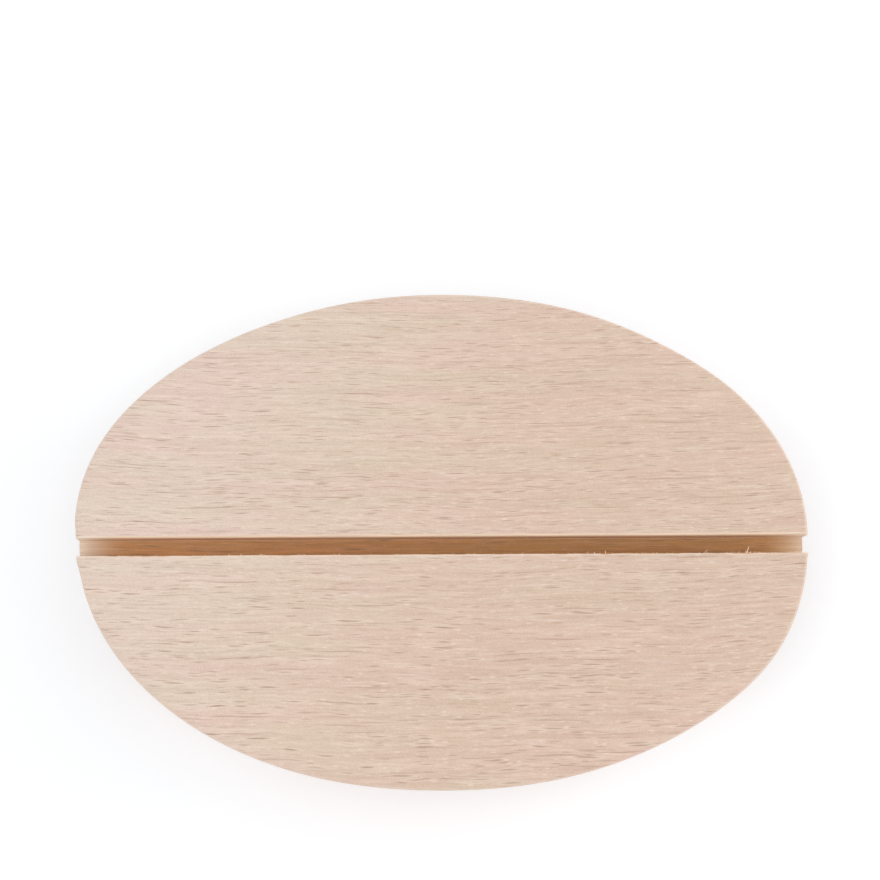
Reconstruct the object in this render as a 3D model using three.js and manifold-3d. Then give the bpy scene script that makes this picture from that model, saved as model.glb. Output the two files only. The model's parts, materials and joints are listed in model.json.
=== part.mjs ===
// Slotted stand: one oval block of beech with a saw slot along the middle of its top face.
// It lies on its flat base and holds a card, a menu or a thin board upright in the slot.
// Millimetres, +Z up. The origin is the middle of the base, and X runs along the grain and the slot.

import * as THREE from 'three';
import { mergeVertices, toCreasedNormals } from 'three/addons/utils/BufferGeometryUtils.js';
import Module from 'manifold-3d';

// Oval block, measured across its widest part, just under the top face.
// A fullness of 2 is a true ellipse, and a little more fills out the four shoulders.
const BLOCK_LENGTH = 103;
const BLOCK_WIDTH = 70;
const BLOCK_THICKNESS = 20;
const OVAL_FULLNESS = 2.05;

// The wall draws in towards the base by this angle, all the way round
const WALL_LEAN = THREE.MathUtils.degToRad(1.6);

// Arrises taken off with fine paper
const TOP_RIM_RADIUS = 0.4;
const BASE_RIM_RADIUS = 0.4;
const SLOT_ARRIS = 0.12;

// Saw slot, open at both ends: its offset is from the long axis, along Y,
// and the overrun is how far the blade's path goes past the wood
const SLOT_WIDTH = 2.5;
const SLOT_DEPTH = 6.7;
const SLOT_OFFSET = -0.45;
const SAW_OVERRUN = 3;

// Fineness of the facets
const OUTLINE_STEPS = 120;
const RIM_STEPS = 2;
const CREASE_ANGLE = THREE.MathUtils.degToRad(30);

// Look of the bare wood
const BEECH_COLOUR = '#e2cbb9';
const BEECH_ROUGHNESS = 0.75;

const wasm = await Module();
wasm.setup();

// Widest outline of the block: a superellipse, drawn once round from +X.
class Oval extends THREE.Curve {
  getPoint(turn, target = new THREE.Vector2()) {
    const angle = turn * 2 * Math.PI;
    const reach = (share, half) => half * Math.sign(share) * Math.abs(share) ** (2 / OVAL_FULLNESS);
    return target.set(reach(Math.cos(angle), BLOCK_LENGTH / 2), reach(Math.sin(angle), BLOCK_WIDTH / 2));
  }
}

// Edge of the block in section: x is the distance out from the widest oval, y is the height.
// The round of the base rim, the leaning wall and the round of the top rim meet without a corner.
function edgeProfile() {
  const topCentre = new THREE.Vector2(-TOP_RIM_RADIUS, BLOCK_THICKNESS - TOP_RIM_RADIUS);
  const drop = topCentre.y - BASE_RIM_RADIUS;
  const drawIn = drop * Math.tan(WALL_LEAN) + (BASE_RIM_RADIUS - TOP_RIM_RADIUS) / Math.cos(WALL_LEAN);
  const baseCentre = new THREE.Vector2(topCentre.x - drawIn, BASE_RIM_RADIUS);
  const edge = new THREE.Path();
  edge.absarc(baseCentre.x, baseCentre.y, BASE_RIM_RADIUS, -Math.PI / 2, -WALL_LEAN);
  edge.absarc(topCentre.x, topCentre.y, TOP_RIM_RADIUS, -WALL_LEAN, Math.PI / 2);
  return edge.getPoints(RIM_STEPS);
}

// Loft of the edge profile round the oval: each profile point becomes one ring,
// which lies its distance out from the oval, measured square to it.
function ovalBlock() {
  const oval = new Oval();
  const profile = edgeProfile();
  const positions = [];
  for (const { x: outward, y: height } of profile) {
    for (let step = 0; step < OUTLINE_STEPS; step++) {
      const point = oval.getPoint(step / OUTLINE_STEPS);
      const along = oval.getTangent(step / OUTLINE_STEPS);
      positions.push(point.x + along.y * outward, point.y - along.x * outward, height);
    }
  }
  const baseMiddle = profile.length * OUTLINE_STEPS;
  const topMiddle = baseMiddle + 1;
  positions.push(0, 0, 0, 0, 0, BLOCK_THICKNESS);

  const triangles = [];
  for (let step = 0; step < OUTLINE_STEPS; step++) {
    const next = (step + 1) % OUTLINE_STEPS;
    for (let ring = 0; ring < profile.length - 1; ring++) {
      const lower = ring * OUTLINE_STEPS;
      const upper = lower + OUTLINE_STEPS;
      triangles.push(lower + step, lower + next, upper + next);
      triangles.push(lower + step, upper + next, upper + step);
    }
    const topRing = (profile.length - 1) * OUTLINE_STEPS;
    triangles.push(baseMiddle, next, step);
    triangles.push(topMiddle, topRing + step, topRing + next);
  }

  const block = new THREE.BufferGeometry();
  block.setAttribute('position', new THREE.Float32BufferAttribute(positions, 3));
  block.setIndex(triangles);
  return block;
}

// Path of the saw blade: the slot's section, with the arrises of its mouth taken off,
// run past both ends of the block.
function slotPath() {
  const half = SLOT_WIDTH / 2;
  const floor = BLOCK_THICKNESS - SLOT_DEPTH;
  const mouth = BLOCK_THICKNESS - SLOT_ARRIS;
  const flare = half + SLOT_ARRIS + SAW_OVERRUN;
  const above = BLOCK_THICKNESS + SAW_OVERRUN;
  const section = new THREE.Shape();
  section.moveTo(SLOT_OFFSET - half, floor);
  section.lineTo(SLOT_OFFSET + half, floor);
  section.lineTo(SLOT_OFFSET + half, mouth);
  section.lineTo(SLOT_OFFSET + flare, above);
  section.lineTo(SLOT_OFFSET - flare, above);
  section.lineTo(SLOT_OFFSET - half, mouth);
  section.closePath();

  const run = BLOCK_LENGTH + 2 * SAW_OVERRUN;
  const path = new THREE.ExtrudeGeometry(section, { depth: run, bevelEnabled: false });
  const acrossUpAlong = new THREE.Matrix4().makeBasis(
    new THREE.Vector3(0, 1, 0),
    new THREE.Vector3(0, 0, 1),
    new THREE.Vector3(1, 0, 0),
  );
  path.applyMatrix4(acrossUpAlong);
  path.translate(-run / 2, 0, 0);
  return path;
}

// Closed geometry to a solid that can be cut, and back again with crisp edges and smooth curves.
function toSolid(geometry) {
  geometry.deleteAttribute('normal');
  geometry.deleteAttribute('uv');
  const merged = mergeVertices(geometry);
  const vertProperties = new Float32Array(merged.attributes.position.array);
  const triVerts = new Uint32Array(merged.index.array);
  return new wasm.Manifold(new wasm.Mesh({ numProp: 3, vertProperties, triVerts }));
}

function toGeometry(solid) {
  const { vertProperties, triVerts } = solid.getMesh();
  const geometry = new THREE.BufferGeometry();
  geometry.setAttribute('position', new THREE.BufferAttribute(vertProperties, 3));
  geometry.setIndex(new THREE.BufferAttribute(triVerts, 1));
  return toCreasedNormals(geometry, CREASE_ANGLE);
}

function slottedBlock() {
  const beech = new THREE.MeshStandardMaterial({
    color: BEECH_COLOUR,
    roughness: BEECH_ROUGHNESS,
    metalness: 0,
  });
  const sawn = toSolid(ovalBlock()).subtract(toSolid(slotPath()));
  const mesh = new THREE.Mesh(toGeometry(sawn), beech);
  mesh.name = 'slotted_block';
  return mesh;
}

const stand = new THREE.Group();
stand.name = 'slotted_stand';
stand.add(slottedBlock());

export default stand;
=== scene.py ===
# %% [markdown]
# # A slotted stand of bare beech
# The real object is a single oval block of beech. Its faces are planed and sanded, nothing is put on
# the wood, and a saw has cut one slot along the top, in which a card stands upright.
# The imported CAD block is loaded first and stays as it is. It gives the size and the place of
# everything below: we model a finer block around it, with softened arrises and a slot that a saw
# really cut, and then spend most of the lesson on the wood itself.

# %% Load the frame
import json
import math
import random

import bmesh
import bpy
from mathutils import Matrix, Vector


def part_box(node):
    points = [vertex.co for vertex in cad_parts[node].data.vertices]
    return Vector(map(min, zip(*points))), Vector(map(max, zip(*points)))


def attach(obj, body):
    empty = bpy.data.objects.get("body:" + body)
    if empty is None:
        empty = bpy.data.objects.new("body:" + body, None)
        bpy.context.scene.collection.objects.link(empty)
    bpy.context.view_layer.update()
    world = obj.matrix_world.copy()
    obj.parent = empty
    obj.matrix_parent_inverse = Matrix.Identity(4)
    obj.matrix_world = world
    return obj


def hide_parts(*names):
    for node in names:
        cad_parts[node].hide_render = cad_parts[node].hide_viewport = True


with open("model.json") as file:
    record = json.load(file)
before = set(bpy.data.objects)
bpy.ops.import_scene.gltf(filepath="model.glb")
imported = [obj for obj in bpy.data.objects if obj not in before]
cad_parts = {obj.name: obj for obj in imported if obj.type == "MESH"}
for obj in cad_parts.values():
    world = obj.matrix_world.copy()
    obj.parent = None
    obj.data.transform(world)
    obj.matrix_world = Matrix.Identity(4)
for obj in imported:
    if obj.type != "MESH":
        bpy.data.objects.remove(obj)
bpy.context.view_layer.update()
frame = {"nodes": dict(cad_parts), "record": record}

MM = 0.001

# %% [markdown]
# ## Sizes
# Blender works in metres, but a maker thinks of this block in millimetres, so every size below is in
# millimetres and is multiplied by MM once, when a mesh is made. The width, the thickness and the slot are
# read from the frame: the record has a mount on the slot's floor, and the CAD mesh has corners at the
# two foot lines of the slot. Only what the frame can't tell by itself is written as a number. Where a value
# differs from one side of the slot to the other, -1 stands for the -Y side and +1 for the +Y side.

# %% Read the block and its slot from the frame
cad_block = frame["nodes"]["slotted_block"]
block_low, block_high = (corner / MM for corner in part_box("slotted_block"))
# The slot cuts off both tips of the oval, so the frame's box is a little shorter than the oval.
BLOCK_LENGTH = 103.0
BLOCK_WIDTH = block_high.y - block_low.y
BLOCK_THICKNESS = block_high.z - block_low.z
OVAL_FULLNESS = 2.05
WALL_LEAN = math.radians(1.6)
RIM_RADIUS = 0.4
# The slot's -Y edge is almost as the saw left it, and the +Y edge has been rubbed round.
SLOT_ARRIS = {-1: 0.12, +1: 0.3}
SAME_HEIGHT = 0.01

mounts = {mount["name"]: mount for mount in frame["record"]["mounts"]}
SLOT_FLOOR = mounts["slot_floor"]["pos_m"][2] / MM
cad_corners = [corner.co for corner in cad_block.data.vertices]
foot_lines = [spot.y / MM for spot in cad_corners if abs(spot.z / MM - SLOT_FLOOR) < SAME_HEIGHT]
SLOT_SIDE = {-1: min(foot_lines), +1: max(foot_lines)}
SLOT_DEPTH = BLOCK_THICKNESS - SLOT_FLOOR

print(f"block {BLOCK_LENGTH} x {BLOCK_WIDTH:.2f} x {BLOCK_THICKNESS:.2f} mm")
print(f"slot from y {SLOT_SIDE[-1]:.2f} to {SLOT_SIDE[+1]:.2f} mm, {SLOT_DEPTH:.2f} mm deep")

# %% [markdown]
# ## Camera
# The block is seen from almost straight above, with a long lens. A long lens has a narrow angle, so
# parallel edges stay nearly parallel. Four things fix such a camera: its focal length in pixels, the
# pixel towards which all upright lines run, which is straight below the camera, the pixel and the
# distance of one known point, and how much the slot rises from left to right. We write those down and
# work out the camera's axes, so no angle has to be guessed by eye.

# %% Place the camera
PICTURE_SIDE = 880
SENSOR_WIDTH = 36.0
FOCAL_PIXELS = 4600
BELOW_CAMERA_PIXEL = (338, 797)
TOP_CENTRE_PIXEL = (442.5, 542.1)
TOP_CENTRE_DISTANCE = 646.6
SLOT_RISE = 0.0065


def sight_line(pixel):
    """Where this pixel looks, one unit deep, with X to the right, Y down and Z forward."""
    half = PICTURE_SIDE / 2
    return Vector(((pixel[0] - half) / FOCAL_PIXELS, (pixel[1] - half) / FOCAL_PIXELS, 1))


up = -sight_line(BELOW_CAMERA_PIXEL).normalized()
along = Vector((1, -SLOT_RISE, 0))
along = (along - along.dot(up) * up).normalized()
across = up.cross(along)
block_axes = Matrix((along, across, up))
# Blender's own camera axes have Y up and Z backward.
camera_axes = block_axes @ Matrix.Diagonal((1, -1, -1))
top_centre = Vector((0, 0, BLOCK_THICKNESS))
camera_spot = top_centre - block_axes @ (TOP_CENTRE_DISTANCE * sight_line(TOP_CENTRE_PIXEL))

lens = bpy.data.cameras.new("long_lens")
lens.sensor_width = SENSOR_WIDTH
lens.lens = FOCAL_PIXELS * SENSOR_WIDTH / PICTURE_SIDE
camera = bpy.data.objects.new("camera", lens)
camera.matrix_world = Matrix.Translation(camera_spot * MM) @ camera_axes.to_4x4()
bpy.context.scene.collection.objects.link(camera)
bpy.context.scene.camera = camera

print(f"lens {lens.lens:.1f} mm, camera at {[round(c, 1) for c in camera_spot]} mm")

# %% [markdown]
# ## The oval
# The outline is a touch fuller than an ellipse: the maker drew it with round shoulders. A superellipse
# has one number for that, and an ellipse is the case 2. One function gives a point on it,
# and can step out from it square to the edge, which is how the lean of the wall and the rounding of the
# rims follow the same outline. The other function finds the place where the slot breaks through it.

# %% Outline of the block
HALF_LENGTH = BLOCK_LENGTH / 2
HALF_WIDTH = BLOCK_WIDTH / 2
ANGLE_ROUNDS = 20


def signed_power(value, power):
    """A power that keeps the sign of its value."""
    return math.copysign(abs(value) ** power, value)


def oval(angle, out=0.0):
    """Point at this angle of the oval, moved out from it square to the edge."""
    power = 2 / OVAL_FULLNESS
    along, across = math.cos(angle), math.sin(angle)
    point = Vector((HALF_LENGTH * signed_power(along, power), HALF_WIDTH * signed_power(across, power)))
    facing = Vector((
        signed_power(along, 2 - power) / HALF_LENGTH,
        signed_power(across, 2 - power) / HALF_WIDTH,
    ))
    return point + out * facing.normalized()


def angle_at(y, out):
    """Angle near the +X tip at which the oval, moved out by this much, is at this y."""
    angle = 0.0
    for _ in range(ANGLE_ROUNDS):
        share = (y - oval(angle, out).y + oval(angle).y) / HALF_WIDTH
        angle = math.asin(signed_power(share, OVAL_FULLNESS / 2))
    return angle


print("slot breaks through at", [round(math.degrees(angle_at(y, 0)), 3) for y in SLOT_SIDE.values()])

# %% [markdown]
# ## The edge in section
# Seen in section, the edge of the block is a small round at the base, a wall that leans in
# towards the base, and a small round at the top. The rounds were made by hand with a strip of fine paper,
# so the upper one is a little wider in some places than in others.
# The section is given as rows from the base to the top. One row lies exactly at the height of the
# slot's floor, so that the slot can be joined to the wall there without a gap.

# %% Rows of the edge
BASE_RIM_STEPS = 5
WALL_STEPS_BELOW_FLOOR = 5
WALL_STEPS_ABOVE_FLOOR = 14
TOP_RIM_STEPS = 6
FLOOR_ROW = BASE_RIM_STEPS + WALL_STEPS_BELOW_FLOOR
TOP_ROW = FLOOR_ROW + WALL_STEPS_ABOVE_FLOOR + TOP_RIM_STEPS


def arc(centre, radius, start, end, steps):
    """Points of an arc in the section, as distance out and height."""
    turns = [start + (end - start) * step / steps for step in range(steps + 1)]
    return [centre + radius * Vector((math.cos(turn), math.sin(turn))) for turn in turns]


def edge_rows(top_radius):
    """The section as points of distance out from the oval and height, from base to top."""
    drop = BLOCK_THICKNESS - 2 * RIM_RADIUS
    base_centre = Vector((-RIM_RADIUS - drop * math.tan(WALL_LEAN), RIM_RADIUS))
    top_centre = Vector((-top_radius, BLOCK_THICKNESS - top_radius))
    base_rim = arc(base_centre, RIM_RADIUS, -math.pi / 2, -WALL_LEAN, BASE_RIM_STEPS)
    top_rim = arc(top_centre, top_radius, -WALL_LEAN, math.pi / 2, TOP_RIM_STEPS)
    foot, head = base_rim[-1], top_rim[0]
    at_floor = foot.lerp(head, (SLOT_FLOOR - foot.y) / (head.y - foot.y))
    lower = [foot.lerp(at_floor, step / WALL_STEPS_BELOW_FLOOR) for step in range(1, WALL_STEPS_BELOW_FLOOR)]
    upper = [at_floor.lerp(head, step / WALL_STEPS_ABOVE_FLOOR) for step in range(WALL_STEPS_ABOVE_FLOOR)]
    return base_rim + lower + upper + top_rim


plain_rows = edge_rows(RIM_RADIUS)
print(f"{len(plain_rows)} rows, the floor is row {FLOOR_ROW} at {plain_rows[FLOOR_ROW].y:.2f} mm")

# %% [markdown]
# ## Torn arrises
# A saw blade tears the fibres where it leaves the wood. On this block the slot's edge on the -Y
# side is ragged, most of all towards the +X end, and so is the upright arris on that side of the +X end.
# The other edge is almost clean. The tears are far smaller than the slot, but they decide
# whether the edge looks cut or drawn, so they go into the mesh: each tear sets the slot's wall back by
# less than a fifth of a millimetre, and a little more where tears overlap. A seeded random generator
# gives the same tears on every run.

# %% Tears along the slot
SLOT_COLUMNS = 520
COLUMN_STEP = BLOCK_LENGTH / SLOT_COLUMNS
# Along the mouth, tears crowd towards the +X end, where the columns start.
MOUTH_TEARS = {-1: 46, +1: 14}
MOUTH_TEAR_DEPTH = {-1: 0.11, +1: 0.04}
MOUTH_SHALLOWEST = 0.3
MOUTH_TEAR_WIDTH = (0.25, 1.1)
MOUTH_TEAR_REACH = 0.3
MOUTH_GRAIN = 0.02
CROWDING = 1.6
# On the upright arrises: depth and number of the tears by side and column. Their heights are in rows.
END_TEARS = {
    (-1, 0): (0.16, 5),
    (-1, SLOT_COLUMNS): (0.05, 3),
    (+1, 0): (0.05, 3),
    (+1, SLOT_COLUMNS): (0.04, 2),
}
END_SHALLOWEST = 0.4
END_TEAR_HEIGHT = 0.9
END_TEAR_REACH = 0.7
CALM_ROWS_BELOW, CALM_ROWS_ABOVE = 4, 7
tear_luck = random.Random(7)


def bell(distance, reach):
    """Falls smoothly from 1 at no distance towards 0 past the reach."""
    return math.exp(-(distance / reach) ** 2)


def mouth_tears(side):
    """How far the mouth of the slot is torn back at each column, on one side."""
    torn = [tear_luck.uniform(0, MOUTH_GRAIN) for _ in range(SLOT_COLUMNS + 1)]
    for _ in range(MOUTH_TEARS[side]):
        middle = SLOT_COLUMNS * tear_luck.random() ** CROWDING
        width = tear_luck.uniform(*MOUTH_TEAR_WIDTH) / COLUMN_STEP
        depth = MOUTH_TEAR_DEPTH[side] * tear_luck.uniform(MOUTH_SHALLOWEST, 1)
        for column in range(SLOT_COLUMNS + 1):
            torn[column] += depth * bell(column - middle, width)
    return torn


def end_tears(deepest, count):
    """How far the upright arris at one end is torn back at each row from the floor to the top."""
    rows = TOP_ROW - FLOOR_ROW
    torn = [0.0] * (rows + 1)
    for _ in range(count):
        middle = tear_luck.uniform(CALM_ROWS_BELOW, rows - CALM_ROWS_ABOVE)
        depth = deepest * tear_luck.uniform(END_SHALLOWEST, 1)
        for row in range(1, rows - TOP_RIM_STEPS):
            torn[row] += depth * bell(row - middle, END_TEAR_HEIGHT)
    return torn


mouth_torn = {side: mouth_tears(side) for side in (-1, +1)}
end_torn = {place: end_tears(*tears) for place, tears in END_TEARS.items()}


def slot_wall_y(side, row, column):
    """Where the slot's wall stands: straight down, rounded at the mouth, and torn back in places."""
    depth = BLOCK_THICKNESS - plain_rows[row].y
    arris = SLOT_ARRIS[side]
    into_arris = max(0.0, arris - depth)
    back = arris - math.sqrt(arris ** 2 - into_arris ** 2)
    to_end = min(column, SLOT_COLUMNS - column) * COLUMN_STEP
    back += mouth_torn[side][column] * bell(depth, MOUTH_TEAR_REACH) * (1 - bell(to_end, END_TEAR_REACH))
    for end in (0, SLOT_COLUMNS):
        from_end = abs(column - end) * COLUMN_STEP
        back += end_torn[side, end][row - FLOOR_ROW] * bell(from_end, END_TEAR_REACH)
    return SLOT_SIDE[side] + side * back


deepest = max(max(torn) for torn in mouth_torn.values())
print(f"deepest tear at the mouth {deepest:.3f} mm")

# %% [markdown]
# ## The mesh, patch by patch
# A boolean cut would leave long thin triangles where the slot meets the oval, and they shade badly.
# Instead the surface is laid as ten patches, each a grid of points in rows and columns: a wall on either
# side of the slot, a small window of wall under each slot end, two halves of the top, two slot walls, the
# slot's floor and the base. Neighbouring patches share the same points along their border, so they can
# be welded into one closed skin afterwards.
# Each patch also gets its place on a flat sheet, in millimetres: the UV map. All patches
# have the same scale there, apart from the base, which nobody looks at and which gets half.
# The wall starts from the drawn oval, but a belt sander is held by hand: in some places it left half a
# millimetre of wood more, in others it took as much away. Two functions give that and the uneven rim.

# %% Patches of the wall
SHEET_SIDE = 140.0
SANDED, SAWN = 0, 1
# Where the belt left more wood or took more: middle and reach in degrees round the oval, and millimetres.
HAND_WORK = [
    (160, 20, 0.60), (118, 14, -0.18), (52, 14, -0.33),
    (-27, 15, 0.52), (-92, 14, -0.18), (-156, 30, -0.43),
]
CALM_COLUMNS = 8
# Waves of the top rim on each side: how many, how strong, and how far they shift with the side.
RIM_WAVES = [(5, 1.0, 1), (13, 0.6, 2), (29, 0.4, 0)]
RIM_UNEVENNESS = 0.15
patches = []


def lay_patch(points, sheet_places, finish):
    """Keep a grid of points with their places on the sheet and the finish of their faces."""
    patches.append((points, sheet_places, finish))


def run_length(points):
    """Distance from the first point along the others."""
    lengths = [0.0]
    for before, after in zip(points, points[1:]):
        lengths.append(lengths[-1] + (after - before).length)
    return lengths


def edge_y(side, row, column):
    """Where the wall's patch begins or ends, beside the slot or below its foot."""
    return slot_wall_y(side, max(row, FLOOR_ROW), column)


def rim_radius(side, share):
    """Radius of the top rim: a hand's uneven work, and plain beside the slot."""
    turn = share * math.pi
    uneven = sum(strength * math.sin(count * turn + shift * side) for count, strength, shift in RIM_WAVES)
    return RIM_RADIUS * (1 + RIM_UNEVENNESS * uneven * math.sqrt(math.sin(turn)))


def hand_worked(angle, columns_to_slot):
    """How far the sanded outline leaves the drawn oval: not at all beside the slot."""
    turn = math.degrees(angle)
    out = sum(amount * bell(turn - middle, reach) for middle, reach, amount in HAND_WORK)
    return out * (1 - bell(columns_to_slot, CALM_COLUMNS))


def wall_patch(side):
    """Wall and rims on one side of the slot, from the +X end round to the -X end."""
    columns = [edge_rows(rim_radius(side, column / SLOT_COLUMNS)) for column in range(SLOT_COLUMNS + 1)]
    points = []
    for row in range(TOP_ROW + 1):
        plain_out = plain_rows[row].x
        first = angle_at(edge_y(side, row, 0), plain_out)
        last = side * math.pi - angle_at(edge_y(side, row, SLOT_COLUMNS), plain_out)
        line = []
        for column, rows in enumerate(columns):
            angle = first + (last - first) * column / SLOT_COLUMNS
            out = rows[row].x + hand_worked(angle, min(column, SLOT_COLUMNS - column))
            line.append(oval(angle, out).to_3d() + Vector((0, 0, rows[row].y)))
        points.append(line)
    return points


WALL_PLACE = {-1: (1.0, 73.0), +1: (1.0, 95.5)}
up_the_edge = run_length(plain_rows)
walls = {side: wall_patch(side) for side in (-1, +1)}
for side, wall in walls.items():
    left, low = WALL_PLACE[side]
    round_the_block = run_length(wall[FLOOR_ROW])
    lay_patch(wall, [[(left + u, low + v) for u in round_the_block] for v in up_the_edge], SANDED)

print(f"wall patches of {TOP_ROW + 1} rows and {SLOT_COLUMNS + 1} columns")

# %% [markdown]
# ## Under the slot's ends
# Below each end of the slot the wall goes on, as a window as wide as the slot. Its upper edge is the front
# edge of the slot's floor. The saw frayed that edge, so its points stand a little higher or lower.

# %% Windows under the slot's ends
FLOOR_STEPS = 8
FRAY_HEIGHT = (-0.1, 0.16)
fray_luck = random.Random(19)
frayed_rise = {
    end: [0] + [fray_luck.uniform(*FRAY_HEIGHT) for _ in range(FLOOR_STEPS - 1)] + [0] for end in (-1, +1)
}


def end_window(end):
    """Piece of wall under the slot at one end, from the base up to the slot's floor."""
    column = 0 if end > 0 else SLOT_COLUMNS
    points = []
    for row in range(FLOOR_ROW + 1):
        out, height = plain_rows[row]
        line = []
        for step in range(FLOOR_STEPS + 1):
            share = step / FLOOR_STEPS
            y = (1 - share) * edge_y(-1, row, column) + share * edge_y(+1, row, column)
            spot = oval(angle_at(y, out), out)
            rise = frayed_rise[end][step] if row == FLOOR_ROW else 0
            line.append(Vector((end * spot.x, spot.y, height + rise)))
        points.append(line)
    return points


WINDOW_PLACE = {-1: (108.0, 56.0), +1: (114.0, 56.0)}
windows = {end: end_window(end) for end in (-1, +1)}
for end, window in windows.items():
    left, low = WINDOW_PLACE[end]
    lay_patch(window, [[(left + p.y, low + p.z) for p in line] for line in window], SANDED)

print(f"windows of {FLOOR_ROW + 1} rows and {FLOOR_STEPS + 1} columns")

# %% [markdown]
# ## Top, slot, floor and base
# The slot's walls take their ends from the wall patches, so the slot breaks through the leaning wall and
# the round rim exactly where it should. Its floor has faint ridges, the track of the blade's
# teeth, and frays upwards at both ends. The top halves and the base are flat, and only have to fill
# what is left between borders that exist already.

# %% Patches of the slot, the top and the base
TOP_STEPS = 8
TOOTH_RIDGE = 0.03
FRAY_REACH = 0.5
tooth_luck = random.Random(3)
ridges = [tooth_luck.uniform(-1, 1) * TOOTH_RIDGE for _ in range(FLOOR_STEPS + 1)]


def between(first_line, last_line, steps):
    """Rows of points that go evenly from one line to another, both included."""
    return [
        [a.lerp(b, step / steps) for a, b in zip(first_line, last_line)] for step in range(steps + 1)
    ]


def slot_wall_patch(side):
    """One wall of the slot, from its floor to its mouth."""
    points = []
    for row in range(FLOOR_ROW, TOP_ROW + 1):
        start, end = walls[side][row][0], walls[side][row][-1]
        line = []
        for column in range(SLOT_COLUMNS + 1):
            spot = start.lerp(end, column / SLOT_COLUMNS)
            spot.y = slot_wall_y(side, row, column)
            line.append(spot)
        points.append(line)
    return points


def floor_patch():
    """Floor of the slot, with the ridges of the blade's teeth and frayed ends."""
    points = []
    for step in range(FLOOR_STEPS + 1):
        start, end = windows[+1][FLOOR_ROW][step], windows[-1][FLOOR_ROW][step]
        ridge = ridges[step] if 0 < step < FLOOR_STEPS else 0
        line = []
        for column in range(SLOT_COLUMNS + 1):
            spot = start.lerp(end, column / SLOT_COLUMNS)
            near = {+1: bell(column * COLUMN_STEP, FRAY_REACH)}
            near[-1] = bell((SLOT_COLUMNS - column) * COLUMN_STEP, FRAY_REACH)
            fray = sum(frayed_rise[end_side][step] * near[end_side] for end_side in (-1, +1))
            spot.z = SLOT_FLOOR + fray + ridge * (1 - near[+1] - near[-1])
            line.append(spot)
        points.append(line)
    return points


SLOT_PLACE = {-1: (52.0, 118.5), +1: (52.0, 126.5)}
slot_walls = {side: slot_wall_patch(side) for side in (-1, +1)}
for side, wall in slot_walls.items():
    left, low = SLOT_PLACE[side]
    lay_patch(wall, [[(left + p.x, low + p.z - SLOT_FLOOR) for p in line] for line in wall], SAWN)

FLOOR_PLACE = (52.0, 137.0)
slot_floor = floor_patch()
places = [[(FLOOR_PLACE[0] + p.x, FLOOR_PLACE[1] + p.y) for p in line] for line in slot_floor]
lay_patch(slot_floor, places, SAWN)

TOP_PLACE = (52.0, 36.0)
for side in (-1, +1):
    half_top = between(slot_walls[side][-1], walls[side][TOP_ROW], TOP_STEPS)
    places = [[(TOP_PLACE[0] + p.x, TOP_PLACE[1] + p.y) for p in line] for line in half_top]
    lay_patch(half_top, places, SANDED)

BASE_PLACE = (122.5, 27.0)
base = between(walls[-1][0], walls[+1][0], FLOOR_STEPS)
for step in range(FLOOR_STEPS + 1):
    base[step][0] = windows[+1][0][step]
    base[step][-1] = windows[-1][0][step]
places = [[(BASE_PLACE[0] + p.y / 2, BASE_PLACE[1] + p.x / 2) for p in line] for line in base]
lay_patch(base, places, SANDED)

print(f"{len(patches)} patches laid")

# %% [markdown]
# ## Weld the skin
# Every patch becomes quads in one mesh, with its sheet places as a UV map. Points that lie on each other
# along the borders are merged, which closes the skin. A closed skin has no edge with only one face, and
# that is worth testing, because a hole too small to see would still spoil a printed or simulated copy.

# %% Build the block
WELD = 1e-7
CREASE = math.radians(40)


def patch_quads(rows, columns, first):
    """Corner numbers of the quads of a grid whose points are numbered row by row."""
    quads = []
    for row in range(rows - 1):
        for column in range(columns - 1):
            corner = first + row * columns + column
            quads.append((corner, corner + 1, corner + columns + 1, corner + columns))
    return quads


corners, quads, finishes, sheet = [], [], [], []
for points, places, finish in patches:
    new_quads = patch_quads(len(points), len(points[0]), len(corners))
    corners += [point * MM for line in points for point in line]
    sheet += [place for line in places for place in line]
    quads += new_quads
    finishes += [finish] * len(new_quads)

skin = bpy.data.meshes.new("slotted_block_skin")
skin.from_pydata(corners, [], quads)
skin.polygons.foreach_set("material_index", finishes)
sheet_map = skin.uv_layers.new(name="OFBake")
for loop in skin.loops:
    sheet_map.uv[loop.index].vector = Vector(sheet[loop.vertex_index]) / SHEET_SIDE

welding = bmesh.new()
welding.from_mesh(skin)
bmesh.ops.remove_doubles(welding, verts=welding.verts, dist=WELD)
bmesh.ops.recalc_face_normals(welding, faces=welding.faces)
open_edges = [edge for edge in welding.edges if len(edge.link_faces) != 2]
volume = welding.calc_volume() / MM ** 3
welding.to_mesh(skin)
welding.free()
skin.shade_smooth()
skin.set_sharp_from_angle(angle=CREASE)
block = bpy.data.objects.new("beech_block", skin)
bpy.context.scene.collection.objects.link(block)

print(f"{len(skin.polygons)} faces, {len(open_edges)} open edges, {volume / 1000:.1f} cubic centimetres")

# %% [markdown]
# ## One helper for nodes
# A procedural material is a graph of small steps. One function adds a step: it makes the node, sets
# its options, and for each input either links the result of an earlier step or sets a constant. It hands
# back the output that the next step needs, so a graph reads from top to bottom like ordinary code.
# Three sets of options come up again and again and have names: a product, a smooth ramp and a mix of colours.
# Colours are written as sRGB hex values, as they are picked from a picture, and turned to linear light.

# %% Node and colour helpers
PRODUCT = {"operation": "MULTIPLY"}
SMOOTH = {"interpolation_type": "SMOOTHSTEP"}
MIX_COLOURS = {"output": 2, "data_type": "RGBA"}
WHITE = "#ffffff"


def wire(tree, kind, inputs=None, output=0, **settings):
    """Add one node, set or link its inputs, and give back one of its outputs."""
    node = tree.nodes.new("ShaderNode" + kind)
    for name, value in settings.items():
        setattr(node, name, value)
    for socket, value in (inputs or {}).items():
        if isinstance(value, bpy.types.NodeSocket):
            tree.links.new(value, node.inputs[socket])
        else:
            node.inputs[socket].default_value = value
    return node.outputs[output] if node.outputs else node


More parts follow.
